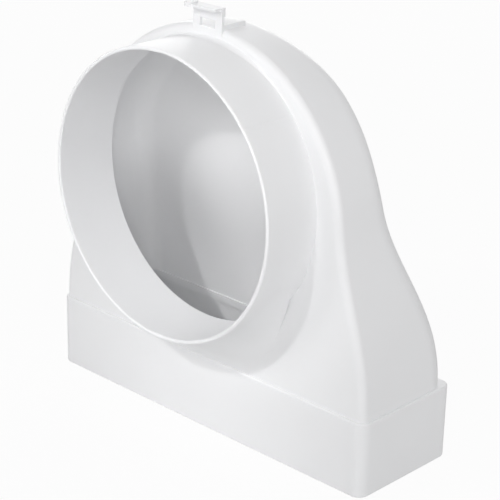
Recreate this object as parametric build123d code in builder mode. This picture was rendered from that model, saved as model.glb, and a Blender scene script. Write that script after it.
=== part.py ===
"""Rigid 90 degree adapter elbow: a flat rectangular duct pushes up into the socket
at the bottom, and a round pipe goes over the spigot at the front.

Millimetres. The origin is the centre of the socket's mouth, +Z is up, and the round
spigot points along -Y.
"""

import os
from math import cos, radians, sin

from build123d import *

os.makedirs("parts", exist_ok=True)

# Flat duct, and the socket that takes it
duct_width = 204.0
duct_depth = 60.0
duct_play = 0.5  # on each side of the duct
socket_wall = 2.25
socket_height = 38.0
socket_bore_corner = 3.5
socket_edge_round = 0.9

# Stop frame that the duct's end meets
stop_reach = 2.4
stop_height = 4.0
stop_corner = 1.5

# Hollow body
ledge = 1.6  # step from the socket in to the body
body_wall = 2.2
arch_margin = 14.1  # the arch's radius past the spigot's
crown_margin = 5.1  # crown above the top of the spigot
flank_angle = 5.8  # degrees above level where the flank leaves the arch
arch_depth = 35.2  # front face to back wall, behind the spigot
crown_depth = 23.5  # the same at the very top
back_knee_drop = 52.0  # below the crown, the back wall stands upright from here
back_shoulder_drop = 35.0  # up to here
front_edge_round = 3.6
back_edge_round = 12.0

# Round spigot
spigot_diameter = 141.0
spigot_wall = 2.0
spigot_length = 31.5
spigot_lift = 18.9  # socket to the underside of the spigot
spigot_fit = 0.05  # gap between the spigot and what runs round it
rim_round = 0.9

# Throat under the spigot, where the duct turns into it: a hollow that starts on a
# smaller, lower circle on the front wall and closes up to the spigot
throat_length = 24.0
throat_foot_inset = 17.5  # in from the spigot's radius
throat_foot_sink = 6.1  # how far the smaller circle runs below the body's foot

# Soft root over the top of the spigot: a hollow turned about a slightly higher axis, so
# that it runs out in to the spigot on both sides
collar_length = 6.0
collar_foot = 1.3  # above the top of the spigot, on the front wall
collar_rise = 3.1  # its axis above the spigot's

# Fixing lug on the crown
lug_width = 18.4
lug_leg = 4.3
lug_thickness = 1.6
lug_foot = 7.0  # how far the legs run down the front of the crown
window_sill = 0.4  # below the crown
window_height = 3.8
lug_height = 8.4  # crown to the underside of the cap
cap_thickness = 1.5
cap_overhang = 4.2
tongue_width = 5.6
tongue_reach = 2.2  # past the left leg
tongue_bulge = 1.2  # past the cap's front edge
tongue_rise = 0.8  # above the cap's top
lip_drop = 2.6  # below the cap's underside
lip_thickness = 1.2
lip_stand = 0.4  # past the right leg, in front and behind too
rib_length = 14.0
rib_width = 2.4
rib_height = 1.7  # above the crown

# Sizes that follow
socket_bore_width = duct_width + 2 * duct_play
socket_bore_depth = duct_depth + 2 * duct_play
socket_width = socket_bore_width + 2 * socket_wall
socket_depth = socket_bore_depth + 2 * socket_wall
socket_corner = socket_bore_corner + socket_wall

body_half_width = socket_width / 2 - ledge
body_front = -socket_depth / 2 + ledge
body_back = socket_depth / 2 - ledge
body_foot = socket_height
arch_back = body_front + arch_depth
crown_back = body_front + crown_depth
run_on = 3 * body_wall  # how far the body's outlines run on below its foot

spigot_radius = spigot_diameter / 2
bore_radius = spigot_radius - spigot_wall
spigot_height = body_foot + spigot_lift + spigot_radius
crown_height = spigot_height + spigot_radius + crown_margin
arch_radius = spigot_radius + arch_margin
arch_centre_height = crown_height - arch_radius
back_knee_height = crown_height - back_knee_drop
back_shoulder_height = crown_height - back_shoulder_drop
spigot_root = Plane(origin=(0, body_front, spigot_height), x_dir=(1, 0, 0), z_dir=(0, -1, 0))
collar_height = spigot_height + collar_rise
collar_radius = spigot_radius + collar_foot - collar_rise
throat_foot_radius = spigot_radius - throat_foot_inset
throat_foot_drop = spigot_height - throat_foot_radius - body_foot + throat_foot_sink
throat_turns = [0, 15, 30, 45, 60, 75, 90]  # degrees round the throat's hollow

# Rectangular socket, open at both ends
with BuildPart() as duct_socket:
    with BuildSketch():
        RectangleRounded(socket_width, socket_depth, socket_corner)
        RectangleRounded(socket_bore_width, socket_bore_depth, socket_bore_corner, mode=Mode.SUBTRACT)
    extrude(amount=socket_height)
    top = duct_socket.faces().sort_by(Axis.Z)[-1]
    mouth = duct_socket.faces().sort_by(Axis.Z)[0]
    fillet(top.outer_wire().edges() + mouth.outer_wire().edges(), radius=socket_edge_round)

# Stop frame at the top of the socket's bore
with BuildPart() as duct_stop:
    with BuildSketch(Plane.XY.offset(socket_height - stop_height)):
        RectangleRounded(socket_bore_width, socket_bore_depth, socket_bore_corner)
        RectangleRounded(
            socket_bore_width - 2 * stop_reach,
            socket_bore_depth - 2 * stop_reach,
            stop_corner,
            mode=Mode.SUBTRACT,
        )
    extrude(amount=stop_height)


def draw_front(inset):
    """Outline of the body from the front, an arch on two flared flanks, drawn in by inset."""
    half_width = body_half_width - inset
    radius = arch_radius - inset
    flank_x = radius * cos(radians(flank_angle))
    flank_z = arch_centre_height + radius * sin(radians(flank_angle))
    with BuildSketch(Plane.XZ.offset(-socket_depth)) as front:
        with BuildLine():
            arch = ThreePointArc((flank_x, flank_z), (0, crown_height - inset), (-flank_x, flank_z))
            right = Spline((half_width, body_foot), arch @ 0, tangents=[(0, 1), arch % 0])
            left = Spline((-half_width, body_foot), arch @ 1, tangents=[(0, 1), -(arch % 1)])
            Polyline(
                right @ 0,
                (half_width, body_foot - run_on),
                (-half_width, body_foot - run_on),
                left @ 0,
            )
        make_face()
    return front.sketch


def draw_side(inset):
    """Outline of the body from the side, upright in front, sweeping forwards at the back."""
    back_foot = (body_back - inset, body_foot)
    back_knee = (arch_back - inset, back_knee_height)
    with BuildSketch(Plane.YZ.offset(-socket_width)) as side:
        with BuildLine():
            sweep_up = Spline(back_foot, back_knee, tangents=[(0, 1), (0, 1)])
            upright = Line(sweep_up @ 1, (arch_back - inset, back_shoulder_height))
            crown = (crown_back - inset, crown_height - inset)
            shoulder = TangentArc(upright @ 1, crown, tangent=upright % 1)
            Polyline(
                shoulder @ 1,
                (body_front + inset, crown_height - inset),
                (body_front + inset, body_foot - run_on),
                (body_back - inset, body_foot - run_on),
                sweep_up @ 0,
            )
        make_face()
    return side.sketch


# Air space inside the body: the body's own form drawn in by its wall
with BuildPart() as air_space:
    extrude(draw_front(body_wall), amount=2 * socket_depth)
    extrude(draw_side(body_wall), amount=2 * socket_width, mode=Mode.INTERSECT)
    rounds = air_space.edges().filter_by(Axis.X, reverse=True).filter_by(Axis.Y, reverse=True)
    fillet(rounds.group_by(Axis.Y)[0], radius=front_edge_round - body_wall / 2)
    rounds = air_space.edges().filter_by(Axis.X, reverse=True).filter_by(Axis.Y, reverse=True)
    back_rounds = rounds.filter_by_position(Axis.Y, crown_back - 2 * body_wall, body_back)
    fillet(back_rounds, radius=back_edge_round - body_wall)

# Body shell, hollowed, with its foot standing on the socket and the stop frame
with BuildPart() as elbow_body:
    extrude(draw_front(0), amount=2 * socket_depth)
    extrude(draw_side(0), amount=2 * socket_width, mode=Mode.INTERSECT)
    rounds = elbow_body.edges().filter_by(Axis.X, reverse=True).filter_by(Axis.Y, reverse=True)
    fillet(rounds.group_by(Axis.Y)[0], radius=front_edge_round)
    rounds = elbow_body.edges().filter_by(Axis.X, reverse=True).filter_by(Axis.Y, reverse=True)
    back_rounds = rounds.filter_by_position(Axis.Y, crown_back - body_wall, body_back)
    fillet(back_rounds, radius=back_edge_round)

    for turn in throat_turns:
        spread = 1 - sin(radians(turn))
        reach = throat_length * (1 - cos(radians(turn)))
        with BuildSketch(spigot_root.offset(reach)):
            with Locations((0, -throat_foot_drop * spread)):
                Circle(spigot_radius + (throat_foot_radius - spigot_radius) * spread)
    loft()
    with BuildSketch(Plane.XY.offset(collar_height)):
        with BuildLine():
            hollow = EllipticalCenterArc(
                (collar_radius, body_front - collar_length),
                collar_foot,
                collar_length,
                start_angle=90,
                arc_size=90,
            )
            Polyline(hollow @ 1, (0, body_front - collar_length), (0, body_front), hollow @ 0)
        make_face()
    revolve(axis=Axis((0, body_front, collar_height), (0, 1, 0)))
    with BuildSketch(spigot_root):
        Circle(spigot_radius + spigot_fit)
    extrude(amount=spigot_length, mode=Mode.SUBTRACT)
    split(bisect_by=Plane.XY.offset(body_foot), keep=Keep.TOP)
    add(air_space.part, mode=Mode.SUBTRACT)
    with BuildSketch(spigot_root):
        Circle(bore_radius)
    extrude(amount=-2 * body_wall, mode=Mode.SUBTRACT)

# Round spigot, butted on the front wall round its opening
with BuildPart() as round_spigot:
    with BuildSketch(spigot_root):
        Circle(spigot_radius)
        Circle(bore_radius, mode=Mode.SUBTRACT)
    extrude(amount=spigot_length)
    fillet(round_spigot.faces().sort_by(Axis.Y)[0].edges(), radius=rim_round)

# Fixing lug: a window frame flush with the front wall, a cap on it that ends in a thick
# round tongue on the left and in a lip on the right, and a rib behind it
with BuildPart() as fixing_lug:
    with BuildSketch(Plane(origin=(0, body_front, crown_height), x_dir=(1, 0, 0), z_dir=(0, -1, 0))):
        with Locations((0, (lug_height - lug_foot) / 2)):
            Rectangle(lug_width, lug_height + lug_foot)
        with Locations((0, window_height / 2 - window_sill)):
            Rectangle(lug_width - 2 * lug_leg, window_height, mode=Mode.SUBTRACT)
    extrude(amount=-lug_thickness)
    lug_back = body_front + lug_thickness
    cap_top = crown_height + lug_height + cap_thickness
    cap_depth = lug_thickness + cap_overhang
    tongue_depth = cap_depth + tongue_bulge
    with Locations((0, lug_back, crown_height + lug_height)):
        Box(lug_width, cap_depth, cap_thickness, align=(Align.CENTER, Align.MAX, Align.MIN))
    with BuildSketch(Plane.XY.offset(crown_height + lug_height)):
        with Locations((tongue_width / 2 - tongue_reach - lug_width / 2, lug_back - tongue_depth / 2)):
            Ellipse(tongue_width / 2, tongue_depth / 2)
    extrude(amount=cap_thickness + tongue_rise)
    with Locations((lug_width / 2 + lip_stand, lug_back + lip_stand, cap_top)):
        Box(
            lip_thickness + lip_stand,
            lug_thickness + 2 * lip_stand,
            lip_drop + cap_thickness,
            align=(Align.MAX, Align.MAX, Align.MAX),
        )
    with Locations((lug_width / 2, lug_back, crown_height + rib_height)):
        Box(rib_width, rib_length, rib_height + lug_foot, align=(Align.MAX, Align.MIN, Align.MAX))
    with BuildSketch(spigot_root):
        Circle(spigot_radius + spigot_fit)
    extrude(amount=spigot_length, mode=Mode.SUBTRACT)
    add(elbow_body.part, mode=Mode.SUBTRACT)
    add(air_space.part, mode=Mode.SUBTRACT)

for name, piece in {
    "duct_socket": duct_socket,
    "duct_stop": duct_stop,
    "elbow_body": elbow_body,
    "round_spigot": round_spigot,
    "fixing_lug": fixing_lug,
}.items():
    piece.part.label = name
    print(name, round(piece.part.volume), piece.part.is_valid, len(piece.part.solids()))
    export_step(piece.part, f"parts/{name}.step")
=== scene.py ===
"""White moulded duct elbow: flat rectangular socket below, round spigot in front, fixing lug on top."""

import math

import bpy
import numpy as np
from mathutils import Matrix

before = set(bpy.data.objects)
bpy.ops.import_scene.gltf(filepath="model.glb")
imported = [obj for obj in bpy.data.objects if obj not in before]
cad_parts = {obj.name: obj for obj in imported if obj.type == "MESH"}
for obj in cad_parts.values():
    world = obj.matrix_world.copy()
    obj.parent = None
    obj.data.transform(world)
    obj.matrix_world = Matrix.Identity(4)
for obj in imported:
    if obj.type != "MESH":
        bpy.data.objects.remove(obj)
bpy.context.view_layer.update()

# Camera
# It stands to the right and in front of the elbow, a little above it, and looks down at it.
# Its place, turn and lens are the ones that lay the solids over the photograph's outline.
camera_place = (0.5259, -0.5554, 0.3871)
camera_yaw = math.radians(43.40)
camera_pitch = math.radians(21.56)  # downwards
camera_roll = math.radians(1.37)
camera_lens = 119.8  # mm
sensor_width = 36.0  # mm

camera_data = bpy.data.cameras.new("photo_camera")
camera_data.lens = camera_lens
camera_data.sensor_width = sensor_width
camera = bpy.data.objects.new("photo_camera", camera_data)
camera.matrix_world = (
    Matrix.Translation(camera_place)
    @ Matrix.Rotation(camera_yaw, 4, "Z")
    @ Matrix.Rotation(math.pi / 2 - camera_pitch, 4, "X")
    @ Matrix.Rotation(camera_roll, 4, "Z")
)
bpy.context.scene.collection.objects.link(camera)
bpy.context.scene.camera = camera
bpy.context.scene.view_settings.view_transform = "Standard"


# Studio
# A white room: an even world, a soft key lamp from the left, broad fills beside the camera, to
# the right and behind, and two narrow lamps in to the spigot. The floor keeps a faint shadow.
world_light = 0.46
world = bpy.data.worlds.new("white_studio")
world.use_nodes = True
bpy.context.scene.world = world
nodes = world.node_tree.nodes
links = world.node_tree.links
background = nodes["Background"]
background.inputs["Color"].default_value = (1.0, 1.0, 1.0, 1.0)
path = nodes.new("ShaderNodeLightPath")
seen = nodes.new("ShaderNodeMath")
seen.operation = "MAXIMUM"
links.new(path.outputs["Is Camera Ray"], seen.inputs[0])
links.new(path.outputs["Is Glossy Ray"], seen.inputs[1])
strength = nodes.new("ShaderNodeMapRange")
strength.inputs["To Min"].default_value = world_light
strength.inputs["To Max"].default_value = 1.0
links.new(seen.outputs[0], strength.inputs["Value"])
links.new(strength.outputs["Result"], background.inputs["Strength"])


def add_lamp(data, place, target):
    """Puts a lamp at place and turns its beam, which runs along its own -Z, towards target."""
    lamp = bpy.data.objects.new(data.name, data)
    toward = np.array(target) - np.array(place)
    heading = math.atan2(-toward[0], toward[1])
    tilt = math.atan2(math.hypot(toward[0], toward[1]), -toward[2])
    lamp.matrix_world = (
        Matrix.Translation(place) @ Matrix.Rotation(heading, 4, "Z") @ Matrix.Rotation(tilt, 4, "X")
    )
    bpy.context.scene.collection.objects.link(lamp)


def round_softbox(name, width, power):
    """A round area lamp, width metres across."""
    data = bpy.data.lights.new(name, "AREA")
    data.shape = "DISK"
    data.size = width
    data.energy = power
    return data


def narrow_lamp(name, power):
    """A soft-edged lamp whose beam is 5 degrees wide, which at 1.3 m is less than the spigot."""
    data = bpy.data.lights.new(name, "SPOT")
    data.energy = power
    data.spot_size = math.radians(5.0)
    data.spot_blend = 0.7
    data.shadow_soft_size = 0.08
    return data


part_middle = (0.0, 0.0, 0.11)
bore_middle = (0.0, -0.045, 0.117)
add_lamp(round_softbox("key_lamp", 0.36, 2.1), (-0.416, -1.092, 0.669), part_middle)
add_lamp(round_softbox("fill_lamp", 1.6, 16.0), (1.638, -1.742, 1.15), part_middle)
add_lamp(round_softbox("side_lamp", 1.6, 4.5), (2.34, -0.91, 0.786), part_middle)
add_lamp(round_softbox("back_lamp", 1.6, 17.0), (-1.60, 1.95, 0.75), part_middle)
add_lamp(narrow_lamp("bore_lamp", 58.0), (0.026, -1.046, 0.957), bore_middle)
add_lamp(narrow_lamp("bore_fill_lamp", 10.0), (0.819, -0.916, 0.645), bore_middle)

floor_half = 2.0
floor_drop = 0.0002  # below the socket's mouth, so that the two don't share a plane
floor_corners = [(-1, -1), (1, -1), (1, 1), (-1, 1)]
floor_points = [(floor_half * x, floor_half * y, -floor_drop) for x, y in floor_corners]
floor_mesh = bpy.data.meshes.new("floor")
floor_mesh.from_pydata(floor_points, [], [(0, 1, 2, 3)])
floor = bpy.data.objects.new("floor", floor_mesh)
bpy.context.scene.collection.objects.link(floor)

# White paper. The camera sees it mostly as plain white, with the rest left for the shadow.
paper_white = (0.86, 0.86, 0.86, 1.0)
plain_white_share = 0.94
floor_material = bpy.data.materials.new("white_floor")
floor_material.use_nodes = True
nodes = floor_material.node_tree.nodes
links = floor_material.node_tree.links
nodes.clear()
output = nodes.new("ShaderNodeOutputMaterial")
paper = nodes.new("ShaderNodeBsdfDiffuse")
paper.inputs["Color"].default_value = paper_white
glow = nodes.new("ShaderNodeEmission")
glow.inputs["Color"].default_value = (1.0, 1.0, 1.0, 1.0)
glow.inputs["Strength"].default_value = 1.0
share = nodes.new("ShaderNodeMath")
share.operation = "MULTIPLY"
share.inputs[1].default_value = plain_white_share
path = nodes.new("ShaderNodeLightPath")
mix = nodes.new("ShaderNodeMixShader")
links.new(path.outputs["Is Camera Ray"], share.inputs[0])
links.new(share.outputs[0], mix.inputs["Fac"])
links.new(paper.outputs[0], mix.inputs[1])
links.new(glow.outputs[0], mix.inputs[2])
links.new(mix.outputs[0], output.inputs["Surface"])
floor.data.materials.append(floor_material)


# Flat socket
# The rectangular sleeve that slides over the end of the flat duct, moulded with the body in
# satin white plastic. The mould leaves a fine even grain on the whole elbow, and the
# plastic's flow leaves broad, very faint clouds in tone and gloss.
cloud_scale = 22.0  # clouds about 45 mm across
grain_scale = 1700.0  # grain about 0.6 mm across
gloss_swing = 0.10
grain_depth = 0.00005


def build_grain_group():
    """Node group: a tone, a roughness and a height, each a mean plus noise times its own share."""
    group = bpy.data.node_groups.new("moulded_skin", "ShaderNodeTree")
    face = group.interface
    face.new_socket("Colour", in_out="INPUT", socket_type="NodeSocketColor")
    face.new_socket("Cloud", in_out="INPUT", socket_type="NodeSocketFloat")
    face.new_socket("Gloss", in_out="INPUT", socket_type="NodeSocketFloat")
    face.new_socket("Tone", in_out="OUTPUT", socket_type="NodeSocketColor")
    face.new_socket("Roughness", in_out="OUTPUT", socket_type="NodeSocketFloat")
    face.new_socket("Height", in_out="OUTPUT", socket_type="NodeSocketFloat")
    make = group.nodes.new
    wire = group.links.new
    given = make("NodeGroupInput")
    result = make("NodeGroupOutput")
    place = make("ShaderNodeTexCoord")

    # Tone = colour x (1 + (clouds - 0.5) x cloud)
    clouds = make("ShaderNodeTexNoise")
    clouds.inputs["Scale"].default_value = cloud_scale
    clouds.inputs["Detail"].default_value = 3.0
    wire(place.outputs["Object"], clouds.inputs["Vector"])
    centred = make("ShaderNodeMath")
    centred.operation = "SUBTRACT"
    centred.inputs[1].default_value = 0.5
    wire(clouds.outputs["Fac"], centred.inputs[0])
    drift = make("ShaderNodeMath")
    drift.operation = "MULTIPLY_ADD"
    drift.inputs[2].default_value = 1.0
    wire(centred.outputs[0], drift.inputs[0])
    wire(given.outputs["Cloud"], drift.inputs[1])
    tone = make("ShaderNodeVectorMath")
    tone.operation = "SCALE"
    wire(given.outputs["Colour"], tone.inputs[0])
    wire(drift.outputs[0], tone.inputs["Scale"])
    wire(tone.outputs[0], result.inputs["Tone"])

    # Roughness = gloss + (clouds - 0.5) x swing
    gloss = make("ShaderNodeMath")
    gloss.operation = "MULTIPLY_ADD"
    gloss.inputs[1].default_value = gloss_swing
    wire(centred.outputs[0], gloss.inputs[0])
    wire(given.outputs["Gloss"], gloss.inputs[2])
    wire(gloss.outputs[0], result.inputs["Roughness"])

    grain = make("ShaderNodeTexNoise")
    grain.inputs["Scale"].default_value = grain_scale
    grain.inputs["Detail"].default_value = 2.0
    wire(place.outputs["Object"], grain.inputs["Vector"])
    wire(grain.outputs["Fac"], result.inputs["Height"])
    return group


moulded_skin = build_grain_group()
plastic_white = (0.896, 0.898, 0.908, 1.0)


def white_plastic(name, colour=plastic_white, cloud=0.03, gloss=0.50, grain=0.12):
    """Satin white plastic: the skin's tone and roughness, with its grain as a shallow bump."""
    material = bpy.data.materials.new(name)
    material.use_nodes = True
    make = material.node_tree.nodes.new
    wire = material.node_tree.links.new
    surface = material.node_tree.nodes["Principled BSDF"]
    surface.inputs["IOR"].default_value = 1.49
    skin = make("ShaderNodeGroup")
    skin.name = "skin"
    skin.node_tree = moulded_skin
    skin.inputs["Colour"].default_value = colour
    skin.inputs["Cloud"].default_value = cloud
    skin.inputs["Gloss"].default_value = gloss
    wire(skin.outputs["Tone"], surface.inputs["Base Color"])
    wire(skin.outputs["Roughness"], surface.inputs["Roughness"])
    bump = make("ShaderNodeBump")
    bump.name = "relief"
    bump.inputs["Strength"].default_value = grain
    bump.inputs["Distance"].default_value = grain_depth
    wire(skin.outputs["Height"], bump.inputs["Height"])
    wire(bump.outputs["Normal"], surface.inputs["Normal"])
    return material


def dress(node, material):
    """Gives a carried-over piece of the elbow its material, in every slot."""
    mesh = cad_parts[node].data
    if not mesh.materials:
        mesh.materials.append(material)
    for number in range(len(mesh.materials)):
        mesh.materials[number] = material


dress("duct_socket", white_plastic("socket_plastic"))

# Stop frame
# The narrow step at the top of the socket's bore, where the flat duct's end stops. It is
# moulded with the socket, in the same white plastic.
dress("duct_stop", white_plastic("stop_plastic"))

# Body
# The hollow white plastic hood that turns the air from the flat duct in to the spigot. It is
# moulded in one with everything else, with rounded outer edges.
dress("elbow_body", white_plastic("body_plastic"))

# Round spigot
# The short white plastic tube that a round duct slides over, moulded on the body's front
# wall. The mould's halves leave a faint parting line along it, up on each side.
spigot_height = 0.1274
parting_angle = math.radians(40.0)
parting_half_width = 0.0008
parting_ridge = 40.0  # in depths of the grain


def add_parting_line(material):
    """Adds a low ridge to the relief, where abs(abs(x) sin a - (z - height) cos a) is small."""
    make = material.node_tree.nodes.new
    wire = material.node_tree.links.new

    def calculate(operation, first, second=None, third=None):
        """One Math node. Each of its inputs is a number or another node's output."""
        node = make("ShaderNodeMath")
        node.operation = operation
        for socket, given in zip(node.inputs, (first, second, third)):
            if isinstance(given, bpy.types.NodeSocket):
                wire(given, socket)
            elif given is not None:
                socket.default_value = given
        return node.outputs[0]

    place = make("ShaderNodeTexCoord")
    split = make("ShaderNodeSeparateXYZ")
    wire(place.outputs["Object"], split.inputs[0])
    sideways = calculate("ABSOLUTE", split.outputs["X"])
    upward = calculate("SUBTRACT", split.outputs["Z"], spigot_height)
    lean = calculate("MULTIPLY", upward, -math.cos(parting_angle))
    offset = calculate("MULTIPLY_ADD", sideways, math.sin(parting_angle), lean)
    ridge = make("ShaderNodeMapRange")
    ridge.interpolation_type = "SMOOTHSTEP"
    ridge.inputs["From Max"].default_value = parting_half_width
    ridge.inputs["To Min"].default_value = parting_ridge
    ridge.inputs["To Max"].default_value = 0.0
    wire(calculate("ABSOLUTE", offset), ridge.inputs["Value"])
    relief = material.node_tree.nodes["relief"]
    skin = material.node_tree.nodes["skin"]
    wire(calculate("ADD", skin.outputs["Height"], ridge.outputs["Result"]), relief.inputs["Height"])


spigot_plastic = white_plastic("spigot_plastic")
add_parting_line(spigot_plastic)
dress("round_spigot", spigot_plastic)

# Fixing lug
# The small white plastic frame on the crown, with a cap and a rib behind it. It is moulded
# flush with the front wall.
dress("fixing_lug", white_plastic("lug_plastic"))
